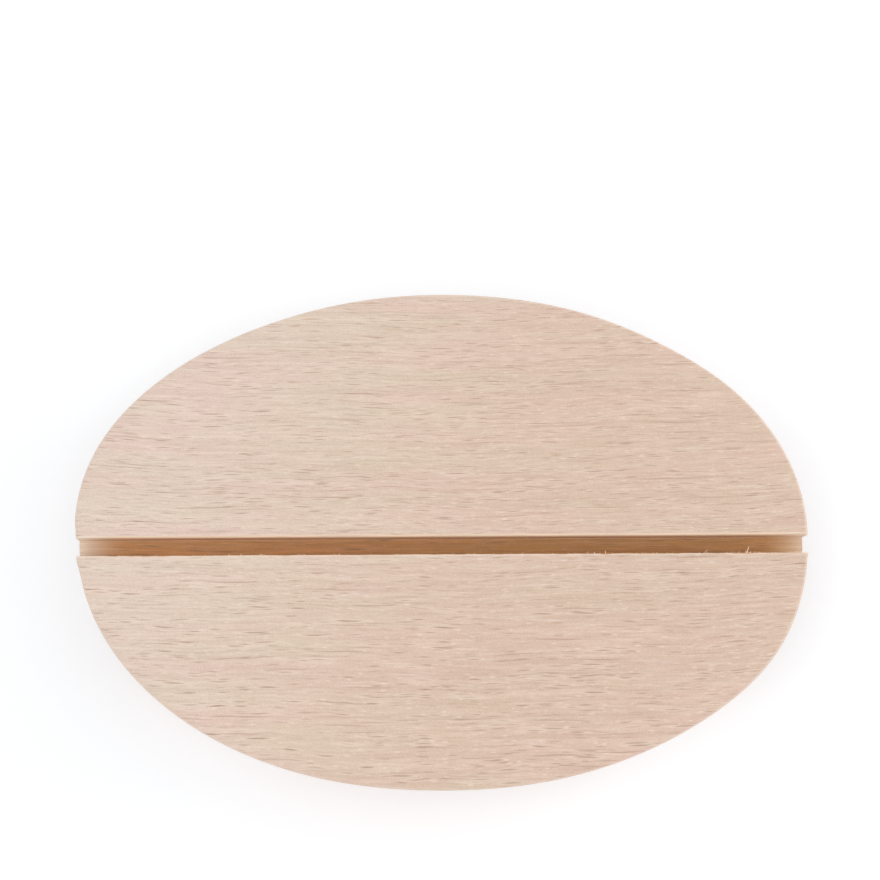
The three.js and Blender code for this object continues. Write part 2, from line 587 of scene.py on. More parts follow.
def ramp(value, start, end, low=0.0, high=1.0):
    """Inputs for a ramp that has its low level up to the start and its high level from the end on."""
    return {"Value": value, "From Min": start, "From Max": end, "To Min": low, "To Max": high}


def linear(hex_colour):
    """Linear RGBA of an sRGB hex colour."""
    shares = [int(hex_colour[place:place + 2], 16) / 255 for place in (1, 3, 5)]
    return (*[s / 12.92 if s <= 0.04045 else ((s + 0.055) / 1.055) ** 2.4 for s in shares], 1.0)


def new_material(name):
    """Empty material with a node tree."""
    material = bpy.data.materials.new(name)
    material.use_nodes = True
    material.node_tree.nodes.clear()
    return material


print("white is", linear(WHITE), "and mid grey is", [round(c, 3) for c in linear("#808080")])

# %% [markdown]
# ## Where a point was in the tree
# Beech shows different faces on each cut because its parts have directions: fibres run along the trunk,
# growth rings lie round the pith, and rays stand out from the pith like spokes. If a pattern is drawn in
# those directions in space, every face of the block shows the right cut of it by itself: dashes on the
# top, lines on the end grain. The end of the block shows where the pith was, low on the +Y side.
# So the material turns each point into three lengths in millimetres: along the grain, round the ring and
# out from the pith. The grain also sags a little and wanders. A trunk is never quite round, so the rings
# have a centre of their own, a little off the point from which the rays spread.

# %% Coordinates of the tree
PITH_Y = 76.0
PITH_Z = -86.0
PITH_DISTANCE = 122.0
RING_CENTRE_Y = 72.0
RING_CENTRE_Z = -75.0
GRAIN_SAG = 0.0004
GRAIN_WANDER = 2.0
WANDER_LENGTH = 30.0
# Middle of a random colour: taken away, it leaves shifts that go either way.
RANDOM_MIDDLE = (0.5, 0.5, 0.5)


def spot_on_block(tree):
    """The shaded point in the block's own frame, in millimetres."""
    spot = wire(tree, "TexCoord", output="Object")
    return wire(tree, "VectorMath", {0: spot, "Scale": 1 / MM}, operation="SCALE")


def spot_in_tree(tree, spot):
    """The same point as lengths along the grain, round the ring and out from the pith."""
    wander = wire(tree, "TexNoise", {
        "Vector": spot, "Scale": 1 / WANDER_LENGTH, "Detail": 4.0, "Roughness": 0.6,
    }, "Color")
    wander = wire(tree, "VectorMath", {0: wander, 1: RANDOM_MIDDLE}, operation="SUBTRACT")
    wander = wire(tree, "VectorMath", {0: wander, 1: (0, GRAIN_WANDER, GRAIN_WANDER)}, **PRODUCT)
    square = wire(tree, "VectorMath", {0: spot, 1: spot}, **PRODUCT)
    square = wire(tree, "SeparateXYZ", {0: square}, "X")
    sag = wire(tree, "Math", {0: square, 1: -GRAIN_SAG}, **PRODUCT)
    sag = wire(tree, "CombineXYZ", {"Y": sag})
    bent = wire(tree, "VectorMath", {0: spot, 1: wander}, operation="ADD")
    bent = wire(tree, "VectorMath", {0: bent, 1: sag}, operation="ADD")
    from_pith = wire(tree, "VectorMath", {0: bent, 1: (0, PITH_Y, PITH_Z)}, operation="SUBTRACT")
    apart = wire(tree, "SeparateXYZ", {0: from_pith}, "X").node.outputs
    turn = wire(tree, "Math", {0: apart["Z"], 1: apart["Y"]}, operation="ARCTAN2")
    round_ring = wire(tree, "Math", {0: turn, 1: -PITH_DISTANCE}, **PRODUCT)
    ring_centre = (0, RING_CENTRE_Y, RING_CENTRE_Z)
    from_rings = wire(tree, "VectorMath", {0: bent, 1: ring_centre}, operation="SUBTRACT")
    from_rings = wire(tree, "VectorMath", {0: from_rings, 1: (0, 1, 1)}, **PRODUCT)
    outward = wire(tree, "VectorMath", {0: from_rings}, "Value", operation="LENGTH")
    return wire(tree, "CombineXYZ", {"X": apart["X"], "Y": round_ring, "Z": outward})


print(f"pith {math.hypot(PITH_Y, PITH_Z - BLOCK_THICKNESS / 2):.0f} mm from the middle of the block")

# %% [markdown]
# ## Figure of the beech
# The rays are what one knows beech by. Each is a thin upright ribbon of other cells, a couple of
# millimetres along the grain, a fraction of a millimetre thick and several millimetres deep. A Voronoi
# pattern stretched in those three directions gives one ribbon per cell, at random places, and its random
# colour decides how dark that one is. Between the rays lie finer flecks and lines, pale fibres, long bundles
# of fibres, pores, the growth rings and slow changes of tone from pinkish to yellowish. Each size below is
# in millimetres of wood, along the grain, round the ring and outwards. A cell is the room that one mark has,
# and the mark fills a part of it. Real pores are about half as wide as drawn, and would be too fine to show.

# %% Patterns of the wood
RAY_CELL = (6.6, 0.31, 6.5)
FLECK_CELL = (3.6, 0.24, 6.0)
PALE_CELL = (1.7, 0.26, 5.0)
LINE_CELL = (16.0, 0.27, 8.0)
FIBRE_SIZE = (8.0, 0.16, 2.0)
BUNDLE_SIZE = (45.0, 0.5, 8.0)
PORE_SIZE = (0.22, 0.13, 0.2)
TINT_SIZE = (26.0, 3.2, 6.0)
RING_WIDTH = 1.6
RING_GROUP = 7.0
RING_SPREAD = 3.0
RING_BREAK = (60.0, 1.6, 60.0)
LENS_SPREAD = 0.06
# Nearly all values of Blender's noise lie in this range.
NOISE_RANGE = (0.25, 0.75)


def per_cell(size):
    """How many cells of this size go to a millimetre, each way."""
    return tuple(1 / side for side in size)


def scattered_lenses(tree, spot, cell):
    """Distance to the nearest lens, one to a cell of this size, and three random shares of that lens."""
    cells = wire(tree, "VectorMath", {0: spot, 1: per_cell(cell)}, **PRODUCT)
    distance = wire(tree, "TexVoronoi", {"Vector": cells, "Scale": 1.0}, "Distance")
    luck = wire(tree, "SeparateColor", {0: distance.node.outputs["Color"]}).node.outputs
    size = wire(tree, "MapRange", ramp(luck[0], 0, 1, -LENS_SPREAD, LENS_SPREAD))
    return wire(tree, "Math", {0: distance, 1: size}, operation="ADD"), luck


def lens_marks(tree, lenses, core, edge, weakest, strongest):
    """Share of the marks' colour: full in the core of a lens, none past its edge."""
    distance, luck = lenses
    mark = wire(tree, "MapRange", ramp(distance, edge, core))
    strength = wire(tree, "MapRange", ramp(luck[1], 0, 1, weakest, strongest))
    return wire(tree, "Math", {0: mark, 1: strength}, **PRODUCT)


def uneven_wood(tree, spot, size, low, high, detail=1.0):
    """Soft random change between two levels, over lengths of this size."""
    cells = wire(tree, "VectorMath", {0: spot, 1: per_cell(size)}, **PRODUCT)
    noise = wire(tree, "TexNoise", {"Vector": cells, "Scale": 1.0, "Detail": detail})
    return wire(tree, "MapRange", ramp(noise, *NOISE_RANGE, low, high))


def growth_rings(tree, spot):
    """0 to 1 across each growth ring, with rings of uneven width."""
    outward = wire(tree, "SeparateXYZ", {0: spot}, "Z")
    uneven = wire(tree, "TexNoise", {
        "W": outward, "Scale": 1 / RING_GROUP, "Detail": 1.0,
    }, noise_dimensions="1D")
    shifted = wire(tree, "Math", {0: uneven, 1: RING_SPREAD, 2: outward}, operation="MULTIPLY_ADD")
    rings = wire(tree, "Math", {0: shifted, 1: 1 / RING_WIDTH}, **PRODUCT)
    return wire(tree, "Math", {0: rings}, operation="FRACT")


print("a ray to every", " x ".join(str(side) for side in RAY_CELL), "mm of wood")

# %% [markdown]
# ## Ground of the wood
# European beech is pale pinkish cream, a little warmer at one end of this block than at the other, with
# slow changes between pinkish and yellowish. On that ground lie the fibres, pores and bundles, the growth
# rings and the marks of the last cell. Each dark ray has pale flanks, where the fibres bend round it.
# A fibre or a pore makes the wood lighter or darker without a change of hue. To the eye that means equal
# steps of red, green and blue in sRGB, and on this warm ground it takes unequal shares of linear light.
# Both finishes of the block, sanded and sawn, start from this ground.

# %% Colour of planed beech
PINK_TINT = "#fffafa"
YELLOW_TINT = "#fcfef9"
RAY_BROWN = "#a37d65"
# Pale fibres of the wood. The same colour serves the painted highlight on the rims and slot arrises.
PALE_FIBRE_AND_HIGHLIGHT = "#fae7d8"
WARM_FROM, WARM_TO = -45.0, 12.0
WARM_WAY = (1.0, -0.45, 0.0)
TINT_SPREAD = (-0.3, 1.3)
NEUTRAL_SHARES = (0.84, 1.0, 1.16)
FIBRE_DEPTH = 0.05
PORE_DEPTH = 0.06
BUNDLE_DEPTH = 0.05
RING_BREAK_SHARES = (0.2, 1.0)
EARLY_WOOD_END = 0.2
LATE_WOOD_START = 0.72
# Marks: core and edge as shares of the cell, then the weakest and the strongest share of the colour.
PALE_MARKS = (0.08, 0.32, 0.1, 0.6)
RAY_FLANKS = (0.25, 0.60, 0.1, 0.4)
FLECK_MARKS = (0.08, 0.30, 0.15, 0.65)
LINE_MARKS = (0.08, 0.30, 0.1, 0.5)
RAY_CORE, RAY_EDGE = 0.10, 0.28
PLAIN_RAY_SHARES = (0.25, 0.75)


def shaded(tree, colour, rise):
    """The colour lightened by this share, or darkened below 0, with its hue kept as a camera sees it."""
    level = wire(tree, "VectorMath", {0: rise, 1: NEUTRAL_SHARES, 2: (1, 1, 1)}, operation="MULTIPLY_ADD")
    return wire(tree, "VectorMath", {0: colour, 1: level}, **PRODUCT)


def beech_ground(tree, spot, inside, tones, ring_share, figure, ray_shares=PLAIN_RAY_SHARES):
    """Colour of beech between two tones at its ends, the share of the rays, and the rise of the fibres."""
    length = wire(tree, "VectorMath", {0: spot, 1: WARM_WAY}, "Value", operation="DOT_PRODUCT")
    warmth = wire(tree, "MapRange", ramp(length, WARM_FROM, WARM_TO))
    ground = wire(tree, "Mix", {0: warmth, 6: tones[0], 7: tones[1]}, **MIX_COLOURS)
    pink = uneven_wood(tree, inside, TINT_SIZE, *TINT_SPREAD)
    tint = wire(tree, "Mix", {0: pink, 6: linear(YELLOW_TINT), 7: linear(PINK_TINT)}, **MIX_COLOURS)
    ground = wire(tree, "VectorMath", {0: ground, 1: tint}, **PRODUCT)

    fibre = uneven_wood(tree, inside, FIBRE_SIZE, -FIBRE_DEPTH, FIBRE_DEPTH)
    for _ in range(2):
        fibre = wire(tree, "Math", {0: fibre, 1: figure}, **PRODUCT)
    pores = uneven_wood(tree, inside, PORE_SIZE, -PORE_DEPTH, PORE_DEPTH, detail=0.0)
    bundles = uneven_wood(tree, inside, BUNDLE_SIZE, -BUNDLE_DEPTH, BUNDLE_DEPTH)
    for rise in (fibre, pores, bundles):
        ground = shaded(tree, ground, rise)

    rings = growth_rings(tree, inside)
    broken = uneven_wood(tree, inside, RING_BREAK, *RING_BREAK_SHARES)
    broken = wire(tree, "Math", {0: ring_share, 1: broken}, **PRODUCT)
    late = wire(tree, "MapRange", ramp(rings, LATE_WOOD_START, 1), **SMOOTH)
    early = wire(tree, "MapRange", ramp(rings, 0, EARLY_WOOD_END, 1, 0))
    for part, tone in ((late, RAY_BROWN), (early, PALE_FIBRE_AND_HIGHLIGHT)):
        share = wire(tree, "Math", {0: part, 1: broken}, **PRODUCT)
        ground = wire(tree, "Mix", {0: share, 6: ground, 7: linear(tone)}, **MIX_COLOURS)

    rays = scattered_lenses(tree, inside, RAY_CELL)
    for lenses, marks, tone in (
        (scattered_lenses(tree, inside, PALE_CELL), PALE_MARKS, PALE_FIBRE_AND_HIGHLIGHT),
        (rays, RAY_FLANKS, PALE_FIBRE_AND_HIGHLIGHT),
        (scattered_lenses(tree, inside, FLECK_CELL), FLECK_MARKS, RAY_BROWN),
        (scattered_lenses(tree, inside, LINE_CELL), LINE_MARKS, RAY_BROWN),
    ):
        share = wire(tree, "Math", {0: lens_marks(tree, lenses, *marks), 1: figure}, **PRODUCT)
        ground = wire(tree, "Mix", {0: share, 6: ground, 7: linear(tone)}, **MIX_COLOURS)
    dark_rays = lens_marks(tree, rays, RAY_CORE, RAY_EDGE, *ray_shares)
    ground = wire(tree, "Mix", {0: dark_rays, 6: ground, 7: linear(RAY_BROWN)}, **MIX_COLOURS)
    return ground, dark_rays, fibre


print("rays of", RAY_BROWN, "between fibres of", PALE_FIBRE_AND_HIGHLIGHT)

# %% [markdown]
# ## End grain and arrises
# End grain soaks up light and looks darker and browner. On the +X end of this block the darker zone ends
# sharply along two straight borders, one along the rays and one along the rings, which meet at a
# corner. A Voronoi pattern with square cells gives the small steps of those borders: each cell shifts the
# border by its own amount. On the -X end no such border is drawn. On both ends the brown fades
# out softly towards the long sides.
# Along the slot's arrises the wood is paler than the faces. On the torn -Y side the broken fibres are paler,
# and on the clean +Y side the even pale line is a painted highlight. A second mask measures how near a point
# is to the slot's mouth, its upright arrises and the front edge of its floor. It is even on the clean +Y side
# and ragged on the torn -Y side.

# %% Masks of the end grain and of the arrises
DARK_CORNER = Vector((HALF_LENGTH, -10.0, 12.8))
DARK_BORDERS = [Vector((0, 1, rise)).normalized() for rise in (1, -1)]
BORDER_SOFTNESS = 0.35
BORDER_STEP = (400.0, 1.2, 1.8)
BORDER_STEP_SPREAD = 0.9
BESIDE_DARK = 0.55
FADE_LEAN = (0.0, 1.0, -0.7)
RIGHT_FADE = (15.0, -17.0)
LEFT_FADE = (-36.0, -14.0)
DARK_CLOUD = (40.0, 9.0, 4.0)
DARK_CLOUD_SHARES = (0.8, 1.0)
ARRIS_REACH = 0.36
FLOOR_FRAY = 0.4
FRAY_SIZE = (0.9, 0.3, 0.4)
RAGGED_SHARES = (0.2, 1.1)
# Painted highlight: the even share of paleness on the clean +Y arris.
CLEAN_SIDE_HIGHLIGHT = 0.85


def dark_end_grain(tree, spot, inside):
    """Share of the brown tone on the end grain."""
    cells = wire(tree, "VectorMath", {0: inside, 1: per_cell(BORDER_STEP)}, **PRODUCT)
    steps = wire(tree, "TexVoronoi", {"Vector": cells, "Scale": 1.0}, "Color", distance="CHEBYCHEV")
    steps = wire(tree, "VectorMath", {0: steps, 1: RANDOM_MIDDLE}, operation="SUBTRACT")
    shift = (0, BORDER_STEP_SPREAD, BORDER_STEP_SPREAD)
    stepped = wire(tree, "VectorMath", {0: steps, 1: shift, 2: spot}, operation="MULTIPLY_ADD")
    place = wire(tree, "SeparateXYZ", {0: spot}).node.outputs
    dark = wire(tree, "MapRange", ramp(place["X"], 0, -HALF_LENGTH / 2), **SMOOTH)
    for way in DARK_BORDERS:
        reach = wire(tree, "VectorMath", {0: stepped, 1: way}, "Value", operation="DOT_PRODUCT")
        border = DARK_CORNER.dot(way)
        past = ramp(reach, border - BORDER_SOFTNESS, border + BORDER_SOFTNESS)
        past = wire(tree, "MapRange", past, **SMOOTH)
        dark = wire(tree, "Math", {0: dark, 1: past}, operation="MAXIMUM")
    share = wire(tree, "MapRange", ramp(dark, 0, 1, BESIDE_DARK, 1))

    leaning = wire(tree, "VectorMath", {0: spot, 1: FADE_LEAN}, "Value", operation="DOT_PRODUCT")
    for fade in (
        wire(tree, "MapRange", ramp(leaning, *RIGHT_FADE)),
        wire(tree, "MapRange", ramp(place["Y"], *LEFT_FADE), **SMOOTH),
        uneven_wood(tree, inside, DARK_CLOUD, *DARK_CLOUD_SHARES),
    ):
        share = wire(tree, "Math", {0: share, 1: fade}, **PRODUCT)
    return share


def frayed_and_highlit_arris(tree, spot):
    """Share of paleness along the slot's arrises: broken fibres on the -Y side, a painted highlight on the +Y
    side.
    """
    place = wire(tree, "SeparateXYZ", {0: spot}).node.outputs
    middle = (SLOT_SIDE[-1] + SLOT_SIDE[+1]) / 2
    half_slot = (SLOT_SIDE[+1] - SLOT_SIDE[-1]) / 2
    arris = half_slot + SLOT_ARRIS[-1] / 2
    offset = wire(tree, "Math", {0: place["Y"], 1: middle}, operation="SUBTRACT")
    clean = wire(tree, "MapRange", ramp(offset, 0, half_slot), **SMOOTH)
    offset = wire(tree, "Math", {0: offset}, operation="ABSOLUTE")
    beside = wire(tree, "MapRange", ramp(offset, half_slot + ARRIS_REACH, arris), **SMOOTH)
    above_floor = wire(tree, "MapRange", ramp(place["Z"], SLOT_FLOOR - FLOOR_FRAY, SLOT_FLOOR), **SMOOTH)
    ragged = uneven_wood(tree, spot, FRAY_SIZE, *RAGGED_SHARES)
    share = wire(tree, "Mix", {0: clean, 2: ragged, 3: CLEAN_SIDE_HIGHLIGHT})
    for near in (beside, above_floor):
        share = wire(tree, "Math", {0: share, 1: near}, **PRODUCT)
    return share


print(f"the dark zone turns {DARK_CORNER.z:.1f} mm above the base")

# %% [markdown]
# ## Sanded beech, unfinished
# Planed and sanded to a fine grit, bare beech has no gloss: light scatters in the
# cut cells, so the roughness is high and the eye sees colour and figure more than light.
# Which way a face looks decides how much of each pattern it shows. The top has the plain figure. The ends
# show strong rings and few but dark rays, and their grain is browner. The long -Y side is painted a little
# darker and warmer, as painted shade, and the +Y side paler, as painted light, with a fainter figure. Round
# the wall the sanding belt has left short level scratches, deepest on the end grain. Real ones are hundredths
# of a millimetre wide and would not show, so they are drawn about a tenth wide. The round rims get a painted
# highlight, a little paler. The rays are harder than the fibres round them, so they are a touch smoother, and
# a slight bump follows fibres and scratches.

# %% Which way a face looks
# Shares of one axis in the face's direction, between which a finish sets in.
TOP_FACING = (0.2, 0.6)
END_FACING = (0.15, 0.45)
SQUARE_FACING = (0.6, 0.92)
BACK_FACING = (0.3, 0.9)
FRONT_FACING = (-0.88, -1.0)


def face_masks(tree):
    """Shares of a face as wall, end, end square on, +Y side and -Y side, and how upright it looks."""
    facing = wire(tree, "NewGeometry", output="Normal")
    to_back = wire(tree, "SeparateXYZ", {0: facing}, "Y")
    facing = wire(tree, "VectorMath", {0: facing}, operation="ABSOLUTE")
    facing = wire(tree, "SeparateXYZ", {0: facing}).node.outputs
    wall = wire(tree, "MapRange", ramp(facing["Z"], *TOP_FACING, 1, 0), **SMOOTH)
    masks = {"wall": wall, "upright": facing["Z"]}
    for name, share, limits in (
        ("end", facing["X"], END_FACING),
        ("square", facing["X"], SQUARE_FACING),
        ("back", to_back, BACK_FACING),
        ("front", to_back, FRONT_FACING),
    ):
        mask = wire(tree, "MapRange", ramp(share, *limits), **SMOOTH)
        masks[name] = wire(tree, "Math", {0: mask, 1: wall}, **PRODUCT)
    return masks


print(f"a face is end grain from {math.degrees(math.asin(END_FACING[1])):.0f} degrees off the long side")

# %% [markdown]
# ## The sanded finish, layer by layer
# The ground comes first, with its figure set by the way the face looks and the +Y side painted paler. The
# brown of the end grain and the painted shade of the -Y side go over it as thin tints, which leave the figure
# visible. Scratches come last, as they do in the workshop, and with them the painted highlight on the rims
# and the pale slot arrises, which are broken fibres on the -Y side and a painted highlight on the +Y side.

# %% Sanded beech
BEECH_TONES = ("#e5d1c3", "#dec4b2")
# Painted light: faces that look to +Y have their ground mixed towards this paler tone.
BACK_LIGHT_TONE = "#e4d8cc"
BACK_LIGHT_SHARE = 0.5
BACK_FIGURE = 0.7
END_BROWN = "#e0cab0"
# Painted shade: a darker, warmer tint over faces that look to -Y.
FRONT_SHADE_TINT = "#f5e6d5"
# Each pair below is the value on the other faces and the one on the end grain.
RING_SHARES = (0.07, 0.4)
FIGURE_SHARES = (1.0, 0.5)
WEAKEST_RAY = (0.22, -0.1)
STRONGEST_RAY = (0.67, 0.95)
SCRATCH_DEPTHS = (0.03, 0.36)
SCRATCH_SIZE = (1.0, 1.0, 0.13)
SCRATCH_SPREAD = (-1.2, 0.6)
# Painted highlight on the round upper rim: how much paler it gets.
RIM_HIGHLIGHT = 0.35
FRAYED_AND_HIGHLIT_ON_WALL = 0.4
BEECH_IOR = 1.5
SANDED_ROUGHNESS = 0.74
RAY_ROUGHNESS = 0.6
RAY_HOLLOW = 0.1
GRAIN_RELIEF = 0.3
RELIEF_STRENGTH = 0.5


def painted_rim_highlight(tree, spot, upright):
    """Share of painted highlight on the upper rim: most where it looks halfway between up and out."""
    square = wire(tree, "Math", {0: upright, 1: upright}, **PRODUCT)
    off_rim = wire(tree, "MapRange", ramp(square, 0, 1, -1, 1))
    off_rim = wire(tree, "Math", {0: off_rim}, operation="ABSOLUTE")
    rim = wire(tree, "MapRange", ramp(off_rim, 0, 1, RIM_HIGHLIGHT, 0))
    height = wire(tree, "SeparateXYZ", {0: spot}, "Z")
    upper = wire(tree, "MapRange", ramp(height, RIM_RADIUS, BLOCK_THICKNESS / 2), **SMOOTH)
    return wire(tree, "Math", {0: rim, 1: upper}, **PRODUCT)


def sanded_beech():
    """Bare beech, sanded: pale, matt and full of short brown rays."""
    material = new_material("sanded_beech")
    tree = material.node_tree
    spot = spot_on_block(tree)
    inside = spot_in_tree(tree, spot)
    face = face_masks(tree)

    ring_share = wire(tree, "MapRange", ramp(face["square"], 0, 1, *RING_SHARES))
    faint = wire(tree, "MapRange", ramp(face["back"], 0, 1, 1, BACK_FIGURE))
    figure, weakest, strongest = [
        wire(tree, "Math", {0: wire(tree, "MapRange", ramp(face["end"], 0, 1, *pair)), 1: faint}, **PRODUCT)
        for pair in (FIGURE_SHARES, WEAKEST_RAY, STRONGEST_RAY)
    ]
    # Painted light on the +Y side: a paler ground where the face looks to +Y.
    back = wire(tree, "Math", {0: face["back"], 1: BACK_LIGHT_SHARE}, **PRODUCT)
    tones = [
        wire(tree, "Mix", {0: back, 6: linear(tone), 7: linear(BACK_LIGHT_TONE)}, **MIX_COLOURS)
        for tone in BEECH_TONES
    ]
    colour, rays, fibre = beech_ground(tree, spot, inside, tones, ring_share, figure, (weakest, strongest))

    dark = wire(tree, "Math", {0: dark_end_grain(tree, spot, inside), 1: face["end"]}, **PRODUCT)
    # The brown of the end grain is the wood's own colour. The tint of the -Y side is painted shade.
    for share, tone in ((dark, END_BROWN), (face["front"], FRONT_SHADE_TINT)):
        tint = wire(tree, "Mix", {0: share, 6: linear(WHITE), 7: linear(tone)}, **MIX_COLOURS)
        colour = wire(tree, "VectorMath", {0: colour, 1: tint}, **PRODUCT)

    scratches = uneven_wood(tree, spot, SCRATCH_SIZE, *SCRATCH_SPREAD, detail=3.0)
    deep = wire(tree, "MapRange", ramp(face["square"], 0, 1, *SCRATCH_DEPTHS))
    for share in (deep, face["wall"]):
        scratches = wire(tree, "Math", {0: scratches, 1: share}, **PRODUCT)
    colour = shaded(tree, colour, scratches)

    # Pale slot arrises: real broken fibres on the -Y side, a painted highlight on the +Y side.
    on_face = wire(tree, "MapRange", ramp(face["wall"], 0, 1, 1, FRAYED_AND_HIGHLIT_ON_WALL))
    frayed_and_highlit = wire(tree, "Math", {0: frayed_and_highlit_arris(tree, spot), 1: on_face}, **PRODUCT)
    # Painted highlight on the rims, then the pale slot arrises.
    for share in (painted_rim_highlight(tree, spot, face["upright"]), frayed_and_highlit):
        colour = wire(tree, "Mix", {0: share, 6: colour, 7: linear(PALE_FIBRE_AND_HIGHLIGHT)}, **MIX_COLOURS)

    rise = wire(tree, "Math", {0: fibre, 1: scratches}, operation="ADD")
    rise = wire(tree, "Math", {0: rays, 1: -RAY_HOLLOW, 2: rise}, operation="MULTIPLY_ADD")
    relief = {"Height": rise, "Strength": RELIEF_STRENGTH, "Distance": GRAIN_RELIEF * MM}
    roughness = wire(tree, "MapRange", ramp(rays, 0, 1, SANDED_ROUGHNESS, RAY_ROUGHNESS))
    shader = wire(tree, "BsdfPrincipled", {
        "Base Color": colour, "Roughness": roughness, "IOR": BEECH_IOR, "Normal": wire(tree, "Bump", relief),
    })
    wire(tree, "OutputMaterial", {"Surface": shader})
    return material


block.data.materials.append(sanded_beech())
print("finish of the faces:", block.data.materials[SANDED].name)

# %% [markdown]
# ## Sawn beech
# Inside the slot nobody has sanded. The cut is fresh and its colour is clearer and more golden, with rough
# streaks along the cut. Towards the mouth and the two open ends, where light gets into the slot, the wood is
# painted paler, as painted light. The +Y wall is painted pale down to its foot as well, which also lifts the
# shade in its corner with the floor.
# Much of the light in the slot has been from wall to wall before it gets out,
# and each time it takes on more of the wood's colour. Cycles does that by itself.

# %% Sawn beech
SAWN_TONES = ("#ecbf8c", "#deb17d")
# Painted light: the pale tone of the slot's walls near the mouth and of the +Y wall.
SLOT_LIGHT_TONE = "#f4dac2"
MOUTH_LIGHT_REACH = 5.5
MOUTH_LIGHT_SHARE = 0.9
# Painted light on the +Y wall: how thick the band is and how high above the floor it reaches.
LIT_WALL_THICKNESS = 0.15
LIT_WALL_HEIGHT = 5.0
# How far the painted light reaches in from each end, and how strong it is there.
SLOT_END_LIGHT_TONE = "#f4e2d0"
LIT_SLOT_ENDS = {-1: (7.0, 1.0), +1: (6.0, 0.65)}
SAW_STREAK_SIZE = (8.0, 0.3, 0.3)
SAW_STREAK_LEVELS = (0.86, 1.12)
SAW_RELIEF = 0.3
SAWN_ROUGHNESS = 0.85
SAWN_RING_SHARE = 0.07
SAWN_FIGURE = 0.35


def sawn_beech():
    """Beech as the saw left it, inside the slot: golden, and streaked along the cut."""
    material = new_material("sawn_beech")
    tree = material.node_tree
    spot = spot_on_block(tree)
    inside = spot_in_tree(tree, spot)
    tones = [linear(tone) for tone in SAWN_TONES]
    colour = beech_ground(tree, spot, inside, tones, SAWN_RING_SHARE, SAWN_FIGURE)[0]

    place = wire(tree, "SeparateXYZ", {0: spot}).node.outputs
    # Painted light: the slot's walls paler towards the mouth, where light comes in.
    mouth = ramp(place["Z"], BLOCK_THICKNESS - MOUTH_LIGHT_REACH, BLOCK_THICKNESS)
    mouth = wire(tree, "MapRange", mouth, **SMOOTH)
    mouth = wire(tree, "Math", {0: mouth, 1: MOUTH_LIGHT_SHARE}, **PRODUCT)
    # Painted light: the +Y wall paler towards its foot, which lifts the shade of its corner with the floor.
    on_wall = ramp(place["Y"], SLOT_SIDE[+1] - LIT_WALL_THICKNESS, SLOT_SIDE[+1])
    on_wall = wire(tree, "MapRange", on_wall, **SMOOTH)
    low = wire(tree, "MapRange", ramp(place["Z"], SLOT_FLOOR + LIT_WALL_HEIGHT, SLOT_FLOOR), **SMOOTH)
    lit_wall_foot = wire(tree, "Math", {0: on_wall, 1: low}, **PRODUCT)
    paler = [(mouth, SLOT_LIGHT_TONE), (lit_wall_foot, SLOT_LIGHT_TONE)]
    # Painted light: the slot paler towards its open ends, where light comes in.
    for end, (reach, strength) in LIT_SLOT_ENDS.items():
        near_end = ramp(place["X"], end * (HALF_LENGTH - reach), end * HALF_LENGTH)
        near_end = wire(tree, "MapRange", near_end, **SMOOTH)
        near_end = wire(tree, "Math", {0: near_end, 1: strength}, **PRODUCT)
        paler.append((near_end, SLOT_END_LIGHT_TONE))
    for share, tone in paler:
        colour = wire(tree, "Mix", {0: share, 6: colour, 7: linear(tone)}, **MIX_COLOURS)

    streaks = uneven_wood(tree, spot, SAW_STREAK_SIZE, *SAW_STREAK_LEVELS, detail=2.0)
    colour = wire(tree, "VectorMath", {0: colour, "Scale": streaks}, operation="SCALE")
    relief = {"Height": streaks, "Strength": RELIEF_STRENGTH, "Distance": SAW_RELIEF * MM}
    shader = wire(tree, "BsdfPrincipled", {
        "Base Color": colour, "Roughness": SAWN_ROUGHNESS, "IOR": BEECH_IOR,
        "Normal": wire(tree, "Bump", relief),
    })
    wire(tree, "OutputMaterial", {"Surface": shader})
    return material


block.data.materials.append(sawn_beech())
print("finish of the slot:", block.data.materials[SAWN].name)

# %% [markdown]
# ## Torn fibres
# A few fibres still hang on the arrises that the saw tore: fine whiskers along the slot's mouth, one of
# them long and forked, and a tuft of short chips on the upright arris of the +X end and
# along the front edge of the slot's floor. Each is a thin bent tube that tapers to a point, with its root
# in the wood. They are a piece of their own, because their mesh has nothing to do with
# the block's, and because a buyer could rub them off with a thumb.

# %% Fibres along the mouth
FIBRE_SIDES = 6
FIBRE_RINGS = 5
FIBRE_TAPER = 0.6
ROOT_DEPTH = 0.06
fibre_luck = random.Random(41)
fibre_points, fibre_faces = [], []


def add_fibre(root, way, bend, length, thickness):
    """One closed tapering tube from its root, bending as it goes, in millimetres."""
    way = way.normalized()
    first = len(fibre_points)
    for ring in range(FIBRE_RINGS):
        share = ring / FIBRE_RINGS
        centre = root + length * (share * way + share ** 2 * bend)
        onward = (way + 2 * share * bend).normalized()
        sideways = onward.orthogonal().normalized()
        upright = onward.cross(sideways)
        radius = thickness / 2 * (1 - FIBRE_TAPER * share)
        for side in range(FIBRE_SIDES):
            turn = 2 * math.pi * side / FIBRE_SIDES
            fibre_points.append(centre + radius * (math.cos(turn) * sideways + math.sin(turn) * upright))
    fibre_points.append(root + length * (way + bend))
    tip = len(fibre_points) - 1
    fibre_faces.append(tuple(first + side for side in reversed(range(FIBRE_SIDES))))
    for ring in range(FIBRE_RINGS):
        for side in range(FIBRE_SIDES):
            here = first + ring * FIBRE_SIDES + side
            beside = first + ring * FIBRE_SIDES + (side + 1) % FIBRE_SIDES
            if ring < FIBRE_RINGS - 1:
                fibre_faces.append((here, beside, beside + FIBRE_SIDES, here + FIBRE_SIDES))
            else:
                fibre_faces.append((here, beside, tip))


